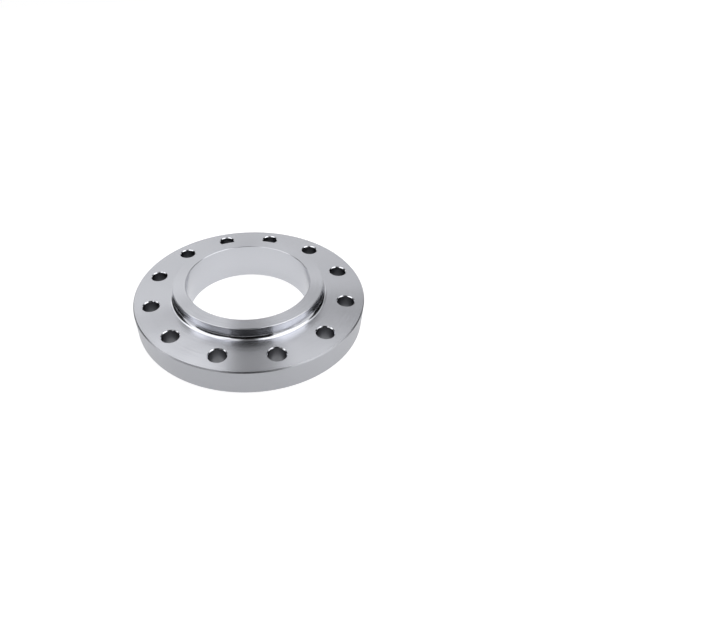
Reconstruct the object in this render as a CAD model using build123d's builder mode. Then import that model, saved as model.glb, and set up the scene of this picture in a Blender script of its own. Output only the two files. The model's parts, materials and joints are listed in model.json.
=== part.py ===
from build123d import *
import os

# A slip on pipe flange with a raised gasket face: one forged ring of steel, turned all over
# and drilled for its bolts. The pipe slides into the bore from the hub's end, and is welded
# to the hub outside and to the bore inside. All sizes are in millimetres.
#
# The origin is the centre of the raised gasket face, which lies on z = 0. The bore runs
# along +Z, from the gasket face towards the hub. The flange rests on its gasket face.

# The pipe that slips into the bore
pipe_diameter = 168.3
pipe_clearance = 1.2  # radial gap between the pipe and the bore

# The bolts that clamp the joint
bolt_count = 12
bolt_diameter = 19.05
bolt_clearance = 1.575  # radial gap between a bolt and its hole

# Widths along the radius, from the bore out to the rim
hub_wall = 17.85
hub_to_bolts = 31.75  # room for a nut and its wrench beside the hub
bolts_to_rim = 23.8
gasket_width = 22.6  # from the bore to the edge of the raised face

# Heights, from the gasket face up to the end of the hub
raised_face_height = 1.6
plate_thickness = 35.0
hub_height = 15.7  # how far the hub stands above the back of the plate

# Blends and broken edges
hub_root_radius = 6.0
hub_edge_radius = 1.0
rim_chamfer = 1.5
raised_face_root_radius = 0.6
raised_face_chamfer = 0.3
bore_chamfer = 0.5
bolt_hole_chamfer = 1.0

# Radii and levels that follow from the sizes above
bore_radius = pipe_diameter / 2 + pipe_clearance
hub_radius = bore_radius + hub_wall
bolt_circle_radius = hub_radius + hub_to_bolts
rim_radius = bolt_circle_radius + bolts_to_rim
raised_face_radius = bore_radius + gasket_width
bolt_hole_radius = bolt_diameter / 2 + bolt_clearance
back_z = raised_face_height + plate_thickness
hub_top_z = back_z + hub_height

# Half a pitch, so that the holes straddle the X and Y axes
first_hole_angle = 180 / bolt_count

with BuildPart() as flange:
    # Half of the cross-section, as the lathe cuts it: across is the radius, up is the height
    with BuildSketch(Plane.XZ) as half_section:
        with BuildLine():
            Polyline(
                (bore_radius, 0),
                (raised_face_radius, 0),
                (raised_face_radius, raised_face_height),
                (rim_radius, raised_face_height),
                (rim_radius, back_z),
                (hub_radius, back_z),
                (hub_radius, hub_top_z),
                (bore_radius, hub_top_z),
                close=True,
            )
        make_face()

        corners = half_section.vertices()
        bore_corners = corners.group_by(Axis.X)[0]
        rim_corners = corners.group_by(Axis.X)[-1]
        hub_root = corners.sort_by_distance((hub_radius, back_z))[0]
        hub_edge = corners.sort_by_distance((hub_radius, hub_top_z))[0]
        raised_face_edge = corners.sort_by_distance((raised_face_radius, 0))[0]
        raised_face_root = corners.sort_by_distance((raised_face_radius, raised_face_height))[0]

        chamfer(bore_corners, bore_chamfer)
        chamfer(rim_corners, rim_chamfer)
        chamfer(raised_face_edge, raised_face_chamfer)
        fillet(raised_face_root, raised_face_root_radius)
        fillet(hub_root, hub_root_radius)
        fillet(hub_edge, hub_edge_radius)
    revolve(axis=Axis.Z)

    # The bolt holes go right through the plate, and both their mouths are chamfered
    with Locations((0, 0, back_z)):
        with PolarLocations(bolt_circle_radius, bolt_count, first_hole_angle):
            Hole(bolt_hole_radius)
    chamfer(flange.edges(Select.LAST).filter_by(GeomType.CIRCLE), bolt_hole_chamfer)

flange.part.label = "flange"

os.makedirs("parts", exist_ok=True)
export_step(flange.part, "parts/flange.step")

print("outside diameter", round(2 * rim_radius, 2))
print("bolt circle diameter", round(2 * bolt_circle_radius, 2))
print("hub diameter", round(2 * hub_radius, 2))
print("raised face diameter", round(2 * raised_face_radius, 2))
print("bore diameter", round(2 * bore_radius, 2))
print("bolt hole diameter", round(2 * bolt_hole_radius, 2))
print("length through the hub", round(hub_top_z, 2))
print("volume in cm3", round(flange.part.volume / 1000, 1))
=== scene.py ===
# %% [markdown]
# # A slip on flange in bare turned steel
#
# The object is one forged ring. A lathe cuts its faces and walls, and a drill cuts its bolt
# holes. The construction model gives its true size and place. This file gives it the look of
# the metal: the tool marks, the blends at its corners, the serrated gasket face and the light
# of a small studio.

# %% Load the frame
import json
import math

import bpy
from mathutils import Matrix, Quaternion, Vector


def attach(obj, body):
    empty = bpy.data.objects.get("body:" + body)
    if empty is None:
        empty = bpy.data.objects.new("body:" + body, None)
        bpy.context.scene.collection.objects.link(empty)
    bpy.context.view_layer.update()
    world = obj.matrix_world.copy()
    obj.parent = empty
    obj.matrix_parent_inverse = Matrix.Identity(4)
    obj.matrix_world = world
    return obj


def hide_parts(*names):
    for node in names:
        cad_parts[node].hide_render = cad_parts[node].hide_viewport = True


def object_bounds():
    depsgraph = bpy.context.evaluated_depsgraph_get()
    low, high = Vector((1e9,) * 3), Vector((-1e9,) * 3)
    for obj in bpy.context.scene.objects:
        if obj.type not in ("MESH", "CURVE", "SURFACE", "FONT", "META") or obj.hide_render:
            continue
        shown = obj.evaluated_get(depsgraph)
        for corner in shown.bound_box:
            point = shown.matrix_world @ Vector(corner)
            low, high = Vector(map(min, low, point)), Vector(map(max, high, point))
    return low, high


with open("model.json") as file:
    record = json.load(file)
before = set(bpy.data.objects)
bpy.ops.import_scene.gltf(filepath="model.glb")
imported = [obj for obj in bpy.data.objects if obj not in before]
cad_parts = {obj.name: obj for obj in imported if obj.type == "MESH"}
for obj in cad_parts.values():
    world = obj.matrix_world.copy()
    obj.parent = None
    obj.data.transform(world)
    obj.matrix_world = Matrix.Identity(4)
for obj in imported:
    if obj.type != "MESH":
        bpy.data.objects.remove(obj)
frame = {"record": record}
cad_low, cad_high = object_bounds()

print("construction model, lowest corner", cad_low, "highest corner", cad_high)

# %% [markdown]
# ## The sizes that the looks share
#
# A copied number goes stale when the model changes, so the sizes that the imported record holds
# are read from it. The rest are the real sizes of this flange, in metres. The origin is the
# centre of the gasket face, and the bore runs up the Z axis.

# %% Sizes of the real flange
MM = 0.001

mounts = {mount["name"]: mount for mount in frame["record"]["mounts"]}
bore_radius = mounts["pipe_bore"]["dims"]["r_mm"] * MM
bolt_circle_radius = mounts["bolt_holes"]["dims"]["pcd_mm"] * MM / 2
bolt_hole_radius = mounts["bolt_holes"]["dims"]["hole_r_mm"] * MM
bolt_hole_count = mounts["bolt_holes"]["dims"]["count"]
back_face_z = mounts["nut_face"]["pos_m"][2]
hub_top_z = cad_high.z
rim_radius = cad_high.x

raised_face_height = 1.6 * MM
raised_face_radius = 107.95 * MM
hub_radius = 103.2 * MM

print("rim radius", rim_radius, "bore radius", bore_radius, "hub top", hub_top_z)

# %% [markdown]
# ## The camera
#
# The camera comes first, so that each later step can be judged against the photograph. Its
# place was worked out from the ellipses of the rim, the bore and the bolt holes. It stands
# close, with a wide lens, so the near side of the ring is drawn much larger than the far side.
# The flange stands left of the picture's middle. A shift of the lens moves it there and
# leaves its perspective alone.

# %% Camera
CAMERA_DISTANCE = 0.6299
CAMERA_AZIMUTH = math.radians(2.12)
CAMERA_ELEVATION = math.radians(39.17)
CAMERA_ROLL = math.radians(2.90)
LENS_MM = 21.68
SENSOR_MM = 36.0
SHIFT_X = 0.1543
SHIFT_Y = -0.0051
NEAREST_SEEN = 10.0 * MM


def direction(azimuth, elevation):
    """The unit vector from the flange towards an azimuth, counted from -Y, and an elevation."""
    across = math.cos(elevation)
    return Vector((math.sin(azimuth) * across, -math.cos(azimuth) * across, math.sin(elevation)))


towards_camera = direction(CAMERA_AZIMUTH, CAMERA_ELEVATION)
camera_data = bpy.data.cameras.new("camera")
camera_data.lens = LENS_MM
camera_data.sensor_width = SENSOR_MM
camera_data.shift_x = SHIFT_X
camera_data.shift_y = SHIFT_Y
camera_data.clip_start = NEAREST_SEEN
camera = bpy.data.objects.new("camera", camera_data)
bpy.context.scene.collection.objects.link(camera)
camera.rotation_mode = "QUATERNION"
camera.location = towards_camera * CAMERA_DISTANCE
aimed = (-towards_camera).to_track_quat("-Z", "Y")
camera.rotation_quaternion = aimed @ Quaternion((0, 0, 1), -CAMERA_ROLL)
bpy.context.scene.camera = camera
print("camera at", camera.location)

# %% [markdown]
# ## Picking what to shape
#
# Working by hand, you click on a corner or drag a box round some edges. In a script the same
# choice is made by place: everything is deselected, and then each corner that passes a test
# is selected, or each edge whose two ends pass it.

# %% Selecting by place
TOLERANCE = 0.001 * MM


def near(a, b):
    """True where two lengths are the same but for rounding."""
    return abs(a - b) < TOLERANCE


def select(piece, kind, test):
    """Leaves the piece in edit mode with only the corners or edges chosen that pass the test."""
    bpy.ops.object.mode_set(mode="EDIT")
    bpy.ops.mesh.select_mode(type=kind)
    bpy.ops.mesh.select_all(action="DESELECT")
    bpy.ops.object.mode_set(mode="OBJECT")
    points = piece.data.vertices
    for part in points if kind == "VERT" else piece.data.edges:
        ends = [part] if kind == "VERT" else [points[i] for i in part.vertices]
        part.select = all(test(end.co) for end in ends)
    bpy.ops.object.mode_set(mode="EDIT")


def select_all(piece):
    """Leaves the piece in edit mode with everything chosen."""
    bpy.ops.object.mode_set(mode="EDIT")
    bpy.ops.mesh.select_all(action="SELECT")


# %% [markdown]
# ## The cross-section
#
# A turned ring is the same all the way round, so it is drawn once, as half of its
# cross-section. It starts as a plane stood upright, the size of the plate's section. Two
# bisecting cuts mark where the hub and the raised face end. The hub is extruded up from the
# plate's top edge, and the raised face down from its bottom edge. A limited dissolve then
# leaves one face with eight sharp corners.

# %% Draw the cross-section
STRAIGHT = math.radians(1)

bpy.ops.object.select_all(action="DESELECT")
bpy.ops.mesh.primitive_plane_add(
    size=1,
    location=((bore_radius + rim_radius) / 2, 0, (raised_face_height + back_face_z) / 2),
    rotation=(math.pi / 2, 0, 0),
)
flange = bpy.context.object
flange.name = "turned_flange"
bpy.ops.transform.resize(value=(rim_radius - bore_radius, 1, back_face_z - raised_face_height))
bpy.ops.object.transform_apply(location=True, rotation=True, scale=True)

for cut_radius in (hub_radius, raised_face_radius):
    select_all(flange)
    bpy.ops.mesh.bisect(plane_co=(cut_radius, 0, 0), plane_no=(1, 0, 0))

select(flange, "EDGE", lambda p: near(p.z, back_face_z) and p.x < hub_radius + TOLERANCE)
bpy.ops.mesh.extrude_region_move(
    TRANSFORM_OT_translate={"value": (0, 0, hub_top_z - back_face_z)}
)
select(
    flange, "EDGE", lambda p: near(p.z, raised_face_height) and p.x < raised_face_radius + TOLERANCE
)
bpy.ops.mesh.extrude_region_move(TRANSFORM_OT_translate={"value": (0, 0, -raised_face_height)})
select_all(flange)
bpy.ops.mesh.dissolve_limited(angle_limit=STRAIGHT)
bpy.ops.object.mode_set(mode="OBJECT")
print("corners in the cross-section", len(flange.data.vertices))

# %% [markdown]
# ## Blends and broken edges
#
# No corner of a machined part is left sharp. A vertex bevel does in the drawing what the
# tool's nose does on the lathe. One segment is a chamfer, and several segments are a round.
# They have the sizes of the construction model, so the metal keeps its form.

# %% Round and chamfer the corners
HUB_ROOT_RADIUS = 6.0 * MM
HUB_EDGE_RADIUS = 1.0 * MM
RIM_CHAMFER = 1.5 * MM
BORE_CHAMFER = 0.5 * MM
RAISED_FACE_ROOT_RADIUS = 0.6 * MM
RAISED_FACE_CHAMFER = 0.3 * MM
BOLT_HOLE_CHAMFER = 1.0 * MM
CHAMFER = 1
SMALL_ROUND = 4
ROUND = 10

corner_work = [
    (hub_radius, back_face_z, HUB_ROOT_RADIUS, ROUND),
    (hub_radius, hub_top_z, HUB_EDGE_RADIUS, ROUND),
    (rim_radius, back_face_z, RIM_CHAMFER, CHAMFER),
    (rim_radius, raised_face_height, RIM_CHAMFER, CHAMFER),
    (bore_radius, hub_top_z, BORE_CHAMFER, CHAMFER),
    (bore_radius, 0, BORE_CHAMFER, CHAMFER),
    (raised_face_radius, raised_face_height, RAISED_FACE_ROOT_RADIUS, SMALL_ROUND),
    (raised_face_radius, 0, RAISED_FACE_CHAMFER, CHAMFER),
]
for radius, height, size, segments in corner_work:
    select(flange, "VERT", lambda p: near(p.x, radius) and near(p.z, height))
    bpy.ops.mesh.bevel(affect="VERTICES", offset=size, segments=segments)
bpy.ops.object.mode_set(mode="OBJECT")
print("corners after the blends", len(flange.data.vertices))

# %% [markdown]
# ## The serrated gasket face
#
# The raised face bites into a gasket, so it is cut with fine round grooves. They are real
# geometry here, because they catch the light when the flange is turned over. The edge of
# the face is subdivided into half grooves, and every second new corner is moved up into the
# metal. The outer faces of the flange stay where they were.

# %% Cut the serrations
GROOVE_PITCH = 0.8 * MM
GROOVE_DEPTH = 0.05 * MM

face_start = bore_radius + BORE_CHAMFER
face_end = raised_face_radius - RAISED_FACE_CHAMFER
groove_count = round((face_end - face_start) / GROOVE_PITCH)
half_groove = (face_end - face_start) / groove_count / 2

select(flange, "EDGE", lambda p: near(p.z, 0))
bpy.ops.mesh.subdivide(number_cuts=2 * groove_count - 1)
select(
    flange,
    "VERT",
    lambda p: near(p.z, 0) and round((p.x - face_start) / half_groove) % 2 == 1,
)
bpy.ops.transform.translate(value=(0, 0, GROOVE_DEPTH))
bpy.ops.object.mode_set(mode="OBJECT")
print("grooves", groove_count, "pitch in mm", round(2 * half_groove / MM, 3))

# %% [markdown]
# ## Turning the ring
#
# Now the drawing is spun about the bore's axis, as the lathe spins the forging. The section's
# own face is deleted first, because it would be left inside the metal. The spin meets itself
# after a full turn, so the doubled corners at the seam are merged, and the normals are
# recalculated to point out of the metal.

# %% Spin the cross-section
STEPS_PER_HOLE = 24
turn_steps = STEPS_PER_HOLE * bolt_hole_count

select_all(flange)
bpy.ops.mesh.delete(type="ONLY_FACE")
select_all(flange)
bpy.ops.mesh.spin(steps=turn_steps, angle=2 * math.pi, center=(0, 0, 0), axis=(0, 0, 1))
select_all(flange)
bpy.ops.mesh.remove_doubles(threshold=TOLERANCE)
bpy.ops.mesh.normals_make_consistent(inside=False)
bpy.ops.object.mode_set(mode="OBJECT")
print("faces after turning", len(flange.data.polygons))

# %% [markdown]
# ## Drilling the bolt holes
#
# A drill is modelled once, as the shape of what it removes: a straight shank with a wider
# cone at each mouth of the hole. It starts as a cylinder. Each end is extruded out twice,
# first while it widens by the chamfer and then straight on past the plate. Copies stand on
# the bolt circle, and one boolean takes them all away from the ring.

# %% The drill
DRILL_SIDES = 64
DRILL_PAST = 1.0 * MM

plate_middle_z = (raised_face_height + back_face_z) / 2
straight_depth = back_face_z - raised_face_height - 2 * BOLT_HOLE_CHAMFER
wider = 1 + BOLT_HOLE_CHAMFER / bolt_hole_radius

bpy.ops.object.select_all(action="DESELECT")
bpy.ops.mesh.primitive_cylinder_add(
    vertices=DRILL_SIDES,
    radius=bolt_hole_radius,
    depth=straight_depth,
    location=(bolt_circle_radius, 0, plate_middle_z),
)
drill = bpy.context.object
drill.name = "drill"
bpy.ops.object.transform_apply(location=True, rotation=True, scale=True)
for end in (1, -1):
    end_z = plate_middle_z + end * straight_depth / 2
    select(drill, "VERT", lambda p: near(p.z, end_z))
    bpy.ops.mesh.extrude_region_move(
        TRANSFORM_OT_translate={"value": (0, 0, end * BOLT_HOLE_CHAMFER)}
    )
    bpy.ops.transform.resize(
        value=(wider, wider, 1), center_override=(bolt_circle_radius, 0, 0)
    )
    bpy.ops.mesh.extrude_region_move(TRANSFORM_OT_translate={"value": (0, 0, end * DRILL_PAST)})
bpy.ops.object.mode_set(mode="OBJECT")
print("corners of the drill", len(drill.data.vertices))

# %% Drill all the holes
hole_pitch = 2 * math.pi / bolt_hole_count
drills = []
for number in range(bolt_hole_count):
    copy = drill.copy()
    copy.data = drill.data.copy()
    bpy.context.scene.collection.objects.link(copy)
    bpy.ops.object.select_all(action="DESELECT")
    copy.select_set(True)
    bpy.context.view_layer.objects.active = copy
    bpy.ops.transform.rotate(
        value=(number + 0.5) * hole_pitch, orient_axis="Z", center_override=(0, 0, 0)
    )
    bpy.ops.object.transform_apply(location=True, rotation=True, scale=True)
    drills.append(copy)

bpy.ops.object.select_all(action="DESELECT")
for copy in drills:
    copy.select_set(True)
bpy.context.view_layer.objects.active = drills[0]
bpy.ops.object.join()
drill_set = bpy.context.object

cut = flange.modifiers.new("bolt holes", "BOOLEAN")
cut.operation = "DIFFERENCE"
cut.solver = "EXACT"
cut.object = drill_set
bpy.ops.object.select_all(action="DESELECT")
flange.select_set(True)
bpy.context.view_layer.objects.active = flange
bpy.ops.object.modifier_apply(modifier=cut.name)
bpy.data.objects.remove(drill_set)
bpy.data.objects.remove(drill)
print("faces after drilling", len(flange.data.polygons))

# %% [markdown]
# ## Smooth where the metal is round, flat where it is flat
#
# Smoothing by angle keeps the chamfers crisp and rounds the walls. The wide flat faces meet
# the narrow strips of the blends, and there the smoothing would tilt the light over the whole
# plate. A weighted normal gives the say to the larger face, so that the plate stays flat.

# %% Smooth the surface
SMOOTH_ANGLE = math.radians(25)
LARGER_FACE_SAY = 100

bpy.ops.object.shade_smooth_by_angle(angle=SMOOTH_ANGLE)
weigh = flange.modifiers.new("flat faces stay flat", "WEIGHTED_NORMAL")
weigh.mode = "FACE_AREA"
weigh.weight = LARGER_FACE_SAY
weigh.keep_sharp = True
bpy.ops.object.modifier_apply(modifier=weigh.name)
print("edges kept sharp", sum(edge.use_edge_sharp for edge in flange.data.edges))

# %% [markdown]
# ## Which tool made which surface
#
# The metal is the same everywhere, but each surface shows the tool that cut it. The flat
# faces were faced, the hub and the blends were turned, and the rim was turned more roughly.
# The bore was bored with its two chamfers, the bolt holes were drilled and countersunk, and
# the gasket face was grooved. The faces of the mesh are sorted by where their middles lie
# and where they point, and each group gets a material slot.

# %% Sort the faces
GROUPS = ("faced", "turned", "rim", "bored", "drilled", "countersunk", "serrated")
FACED, TURNED, RIM, BORED, DRILLED, COUNTERSUNK, SERRATED = range(len(GROUPS))

# How far a normal points up or down: less than WALL on a wall, more than LEVEL on a flat.
WALL = 0.1
LEVEL = 0.999

first_hole_angle = hole_pitch / 2
hole_reach = bolt_hole_radius + BOLT_HOLE_CHAMFER


def finish_of(middle, facing):
    """The tool that cut the face with this middle and normal."""
    radius = math.hypot(middle.x, middle.y)
    turn = math.atan2(middle.y, middle.x) - first_hole_angle
    nearest = round(turn / hole_pitch) * hole_pitch + first_hole_angle
    axis_x = bolt_circle_radius * math.cos(nearest)
    axis_y = bolt_circle_radius * math.sin(nearest)
    in_hole = math.hypot(middle.x - axis_x, middle.y - axis_y) < hole_reach
    if middle.z < GROOVE_DEPTH:
        return SERRATED
    if abs(facing.z) > LEVEL:
        return FACED
    if in_hole:
        return DRILLED if abs(facing.z) < WALL else COUNTERSUNK
    if radius < bore_radius + BORE_CHAMFER:
        return BORED
    return RIM if radius > rim_radius - RIM_CHAMFER else TURNED


for face in flange.data.polygons:
    face.material_index = finish_of(face.center, face.normal)
sorted_faces = [face.material_index for face in flange.data.polygons]
for number, group in enumerate(GROUPS):
    print(group, "faces", sorted_faces.count(number))

# %% [markdown]
# ## The marks of a lathe
#
# A lathe tool leaves a fine groove that runs round and round the work. On a face the marks
# are circles of growing radius, and on a wall they are circles of falling height. The radius
# less the height changes steadily along both, and along the blends between them, so noise
# driven by that one number draws every mark. Nothing has to be painted or unwrapped.
#
# The grooves are too fine to see from a step away, but they pull each reflection out across
# themselves. That is the anisotropy, and it gives turned metal its dark and light fans. Its
# direction comes from a tangent that runs round the axis. An image of brushed metal would
# show the same marks everywhere and hold them at one size, so noise is the better way here.

# %% Small helpers for materials
STEEL = tuple(frame["record"]["materials"][0]["base_color"])
NOISE_LOW = 0.3
NOISE_HIGH = 0.7


def node(tree, kind, inputs, **settings):
    """Adds a node, and fills its inputs with values or with the outputs of other nodes."""
    made = tree.nodes.new(kind)
    for name, value in settings.items():
        setattr(made, name, value)
    for key, value in inputs.items():
        if isinstance(value, bpy.types.NodeSocket):
            tree.links.new(value, made.inputs[key])
        else:
            made.inputs[key].default_value = value
    return made


def math_node(tree, operation, first, second=0.0):
    """Adds one step of arithmetic, and returns its result."""
    made = node(tree, "ShaderNodeMath", {0: first, 1: second}, operation=operation)
    return made.outputs["Value"]


def spread(tree, value, low, high):
    """Stretches noise, which seldom leaves its middle part, over a range of its own."""
    ends = {"From Min": NOISE_LOW, "From Max": NOISE_HIGH, "To Min": low, "To Max": high}
    made = node(tree, "ShaderNodeMapRange", {"Value": value, **ends})
    return made.outputs["Result"]


def noise_along(tree, distance, width, detail):
    """Noise that changes along one distance only, about once in each width."""
    inputs = {"W": distance, "Scale": 1 / width, "Detail": detail}
    made = node(tree, "ShaderNodeTexNoise", inputs, noise_dimensions="1D")
    return made.outputs[0]


print("steel's colour", STEEL)

# %% Steel as each tool leaves it
MARK_DEPTH = 0.001 * MM
MARK_DETAIL = 2
BAND_WIDTH = 3.0 * MM
BAND_TONE = 0.01
BAND_ROUGHNESS = 0.007
CLOUD_SIZE = 30.0 * MM
CLOUD_TONE = 0.01
CLOUD_ROUGHNESS = 0.01
SLOW_DETAIL = 3
QUARTER_TURN = 0.25


def cut_steel(name, roughness, feed, anisotropy=0.0, tone_and_painted_light=1.0, drilled=False):
    """Bare steel with the marks of one tool. The feed is how far apart the marks are."""
    metal = bpy.data.materials.new(name)
    metal.use_nodes = True
    tree = metal.node_tree
    shader = tree.nodes["Principled BSDF"]

    place = node(tree, "ShaderNodeTexCoord", {}).outputs["Object"]
    part = node(tree, "ShaderNodeSeparateXYZ", {"Vector": place}).outputs
    level = node(tree, "ShaderNodeCombineXYZ", {"X": part["X"], "Y": part["Y"]})
    radius = node(tree, "ShaderNodeVectorMath", {0: level.outputs[0]}, operation="LENGTH")
    along = math_node(tree, "SUBTRACT", radius.outputs["Value"], part["Z"])
    if drilled:
        along = part["Z"]

    # Three noises: the tool's own marks, broader bands, and the clouds of handling.
    marks = noise_along(tree, along, feed, MARK_DETAIL)
    bands = noise_along(tree, along, BAND_WIDTH, SLOW_DETAIL)
    cloudy = {"Vector": place, "Scale": 1 / CLOUD_SIZE, "Detail": SLOW_DETAIL}
    clouds = node(tree, "ShaderNodeTexNoise", cloudy).outputs[0]

    band_tone = spread(tree, bands, 1 - BAND_TONE, 1 + BAND_TONE)
    cloud_tone = spread(tree, clouds, 1 - CLOUD_TONE, 1 + CLOUD_TONE)
    tone = math_node(tree, "MULTIPLY", band_tone, cloud_tone)
    # Painted light: this factor darkens the rim and the bolt holes as painted shade, and lightens
    # the countersinks as a painted highlight.
    tone = math_node(tree, "MULTIPLY", tone, tone_and_painted_light)
    colour = node(tree, "ShaderNodeVectorMath", {0: STEEL, "Scale": tone}, operation="SCALE")
    tree.links.new(colour.outputs["Vector"], shader.inputs["Base Color"])

    finer, rougher = roughness - BAND_ROUGHNESS, roughness + BAND_ROUGHNESS
    band_roughness = spread(tree, bands, finer, rougher)
    cloud_roughness = spread(tree, clouds, -CLOUD_ROUGHNESS, CLOUD_ROUGHNESS)
    total_roughness = math_node(tree, "ADD", band_roughness, cloud_roughness)
    tree.links.new(total_roughness, shader.inputs["Roughness"])

    relief = node(tree, "ShaderNodeBump", {"Distance": MARK_DEPTH, "Height": marks})
    tree.links.new(relief.outputs["Normal"], shader.inputs["Normal"])

    # The tangent runs along the grooves, and a quarter turn sets the blur across them.
    shader.inputs["Metallic"].default_value = 1
    if not drilled:
        leftwards = math_node(tree, "MULTIPLY", part["Y"], -1)
        around = node(tree, "ShaderNodeCombineXYZ", {"X": leftwards, "Y": part["X"]})
        tree.links.new(around.outputs["Vector"], shader.inputs["Tangent"])
        shader.inputs["Anisotropic"].default_value = anisotropy
        shader.inputs["Anisotropic Rotation"].default_value = QUARTER_TURN
    return metal


# %% [markdown]
# ## Seven finishes of one steel
#
# The finishes differ in three ways. A slow, fine cut, as on the hub, is smooth and mirrors
# the plate below it. A quicker cut is rougher, and blurs what it mirrors. Steady marks give
# a strong anisotropy. And the colour is scaled on some surfaces to paint light into it. The
# rim is darkened with painted shade, and the bolt holes most of all, and a painted highlight
# lightens the chamfers at their mouths. The hub wall, the blends and the bore are a little darker.
#
# One material with painted masks could do this too. Separate materials are easier to judge
# against the photograph, one surface at a time. They stand in the order of the face groups.

# %% Make the finishes
finishes = (
    cut_steel("faced_steel", 0.23, 0.25 * MM, anisotropy=0.9),
    cut_steel("turned_steel", 0.15, 0.2 * MM, anisotropy=0.86, tone_and_painted_light=0.9),
    # Painted shade: the rim's colour is darkened for the shadowed floor that it mirrors.
    cut_steel("rim_steel_painted_shade", 0.34, 0.3 * MM, anisotropy=0.9, tone_and_painted_light=0.67),
    cut_steel("bored_steel", 0.25, 0.15 * MM, anisotropy=0.8, tone_and_painted_light=0.88),
    # Painted shade: the bolt holes' colour is darkened for the shade inside them.
    cut_steel("drilled_steel_painted_shade", 0.3, 0.3 * MM, tone_and_painted_light=0.32, drilled=True),
    # Painted highlight: the countersinks' colour is lightened for the glints on them.
    cut_steel("countersunk_steel_painted_highlight", 0.2, 0.3 * MM, tone_and_painted_light=1.1, drilled=True),
    cut_steel("serrated_steel", 0.24, 0.2 * MM, anisotropy=0.8),
)
for metal in finishes:
    flange.data.materials.append(metal)

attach(flange, "root")
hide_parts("flange")
print("finishes on the flange", len(flange.data.materials))

# %% [markdown]
# ## The floor
#
# The photograph has the flange on plain white, with no edge or corner of a room in sight. A
# sheet of matt paper does that, and it takes the flange's soft shadow. The paper also glows,
# but only for rays that look at it: from the camera, off the metal or through glass. So it
# is white in the picture and in the metal, and lights nothing else. It is clear from below,
# so that the gasket face can be seen too.

# %% Small helpers for the studio
def looked_at(tree):
    """1 for a ray from the camera, off metal or through glass, and 0 for a ray of light."""
    ray = node(tree, "ShaderNodeLightPath", {}).outputs
    direct = math_node(tree, "MAXIMUM", ray["Is Camera Ray"], ray["Is Glossy Ray"])
    return math_node(tree, "MAXIMUM", direct, ray["Is Transmission Ray"])


def bare_material(name):
    """A material with nothing but its output, and that output's surface socket."""
    made = bpy.data.materials.new(name)
    made.use_nodes = True
    made.node_tree.nodes.remove(made.node_tree.nodes["Principled BSDF"])
    return made, made.node_tree, made.node_tree.nodes["Material Output"].inputs["Surface"]


# %% Paper floor
FLOOR_SIZE = 12.0
FLOOR_DROP = 0.2 * MM
PAPER = (0.35, 0.35, 0.35, 1)
PAPER_GLOW = 0.85

bpy.ops.object.select_all(action="DESELECT")
bpy.ops.mesh.primitive_plane_add(size=FLOOR_SIZE, location=(0, 0, -FLOOR_DROP))
floor = bpy.context.object
floor.name = "floor"

paper, tree, surface = bare_material("pale_paper")
matt = node(tree, "ShaderNodeBsdfDiffuse", {"Color": PAPER})
glow_strength = math_node(tree, "MULTIPLY", looked_at(tree), PAPER_GLOW)
glow = node(tree, "ShaderNodeEmission", {"Strength": glow_strength})
lit = node(tree, "ShaderNodeAddShader", {0: matt.outputs[0], 1: glow.outputs[0]})
clear = node(tree, "ShaderNodeBsdfTransparent", {})
below = node(tree, "ShaderNodeNewGeometry", {}).outputs["Backfacing"]
sheet = node(tree, "ShaderNodeMixShader", {0: below, 1: lit.outputs[0], 2: clear.outputs[0]})
tree.links.new(sheet.outputs[0], surface)
floor.data.materials.append(paper)
print("paper floor, metres across", FLOOR_SIZE)

# %% [markdown]
# ## The light
#
# Bare metal has hardly a look of its own. It shows the room, so a photographer builds the
# room for it. This room was worked out backwards, from the reflections in the photograph.
#
# Two large soft boxes hang over the flange, right and left, and a small one fills the gap in
# front of the left one. They make the bright ring in the blend round the hub. A black flag
# stands behind the camera, and a narrow dark one carries on from it overhead. They darken
# the front of the plate, and the wall of the hub mirrors the plate, so it has a black band
# there. Two more flags stand right and left, a little behind the flange, and draw the dark
# marks on the sides of the hub. Black cards stand in front and grey ones at the back. The
# white world shows wherever nothing stands.
#
# Each card is a plane that faces the flange. Its edges fade out, so that nothing hard shows
# in the reflections, and the camera doesn't see it. Where two overlap, the nearer one hides
# the other. So the flags stand nearest, the soft boxes next, and the cards farthest away.

# %% One card
EDGE = 0.5


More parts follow.
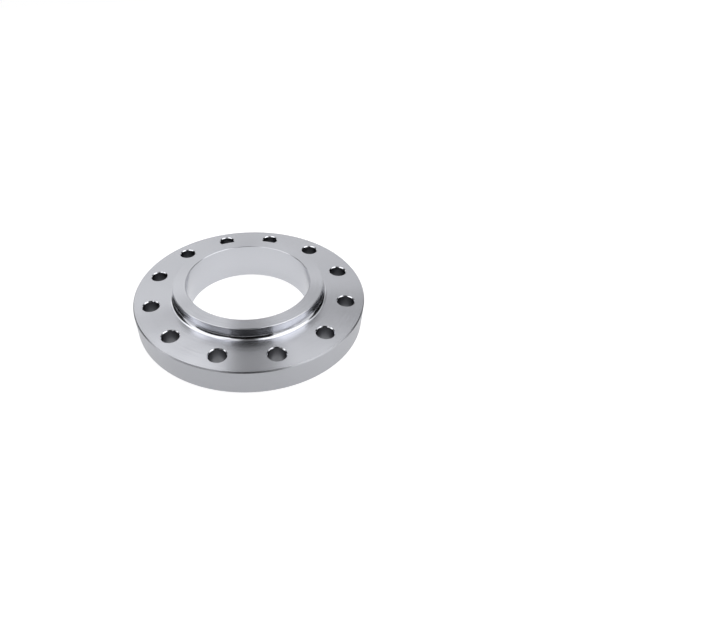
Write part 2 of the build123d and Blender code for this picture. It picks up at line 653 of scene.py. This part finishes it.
def card(name, azimuth, elevation, distance, width, height, level, fade):
    """A card with soft edges. Its level is 0 for black, 1 for white, and more for a lamp."""
    towards = direction(math.radians(azimuth) + CAMERA_AZIMUTH, math.radians(elevation))
    bpy.ops.object.select_all(action="DESELECT")
    bpy.ops.mesh.primitive_plane_add(size=1, location=towards * distance)
    made = bpy.context.object
    made.name = name
    made.rotation_mode = "QUATERNION"
    made.rotation_quaternion = towards.to_track_quat("Z", "Y")
    made.scale = (width, height, 1)
    made.visible_camera = False

    material, tree, surface = bare_material(name)
    place = node(tree, "ShaderNodeTexCoord", {}).outputs["Object"]
    across = node(tree, "ShaderNodeSeparateXYZ", {"Vector": place}).outputs
    # A card reaches as far as EDGE from its middle in its own coordinates, whatever its size.
    covers = []
    for axis, length in (("X", width), ("Y", height)):
        from_middle = math_node(tree, "ABSOLUTE", across[axis])
        ends = {"Value": from_middle, "From Min": EDGE, "From Max": EDGE - fade / length}
        cover = node(tree, "ShaderNodeMapRange", ends, interpolation_type="SMOOTHSTEP")
        covers.append(cover.outputs["Result"])
    clear = node(tree, "ShaderNodeBsdfTransparent", {})
    light = node(tree, "ShaderNodeEmission", {"Strength": level})
    mix = {0: math_node(tree, "MULTIPLY", *covers), 1: clear.outputs[0], 2: light.outputs[0]}
    tree.links.new(node(tree, "ShaderNodeMixShader", mix).outputs[0], surface)
    made.data.materials.append(material)
    return made


# %% Set up the studio
# Name, azimuth and elevation in degrees, distance, width and height in metres, level, fade.
studio = [
    ("card_front_right", 36, 1, 4.4, 4.4, 2.1, 0.02, 0.7),
    ("card_front_left", -49, 18, 4.4, 4.7, 4.8, 0.02, 0.4),
    ("card_back", 168, 1, 4.5, 9.0, 3.6, 0.5, 0.7),
    ("card_back_high", 190, 44, 4.4, 7.9, 1.0, 0.4, 0.2),
    ("card_back_right", 162, 30, 4.3, 1.8, 1.4, 0.86, 0.5),
    ("soft_box_right", 78, 64, 3.0, 3.0, 3.5, 2.3, 0.25),
    ("soft_box_left", -109, 50, 3.0, 3.8, 2.9, 1.9, 0.3),
    ("soft_box_front_left", -52, 57, 2.9, 1.6, 1.3, 2.1, 0.3),
    ("flag_right", 113, 0, 2.0, 1.5, 4.3, 0.0, 0.2),
    ("flag_left", -116, 4, 2.0, 1.5, 3.6, 0.02, 0.15),
    ("flag_behind_camera", 2, 15, 2.0, 2.1, 5.0, 0.0, 0.1),
    ("flag_overhead", -2, 95, 1.95, 0.55, 2.8, 0.2, 0.1),
]
cards = [card(*row) for row in studio]
print("cards and soft boxes", len(cards))

# %% White world
WHITE = (1, 1, 1, 1)
WORLD_STRENGTH = 1

world = bpy.data.worlds.new("white_room")
bpy.context.scene.world = world
world.use_nodes = True
background = world.node_tree.nodes["Background"]
background.inputs["Color"].default_value = WHITE
background.inputs["Strength"].default_value = WORLD_STRENGTH
print("world", world.name, "strength", WORLD_STRENGTH)

bpy.context.scene.view_settings.view_transform = "Standard"
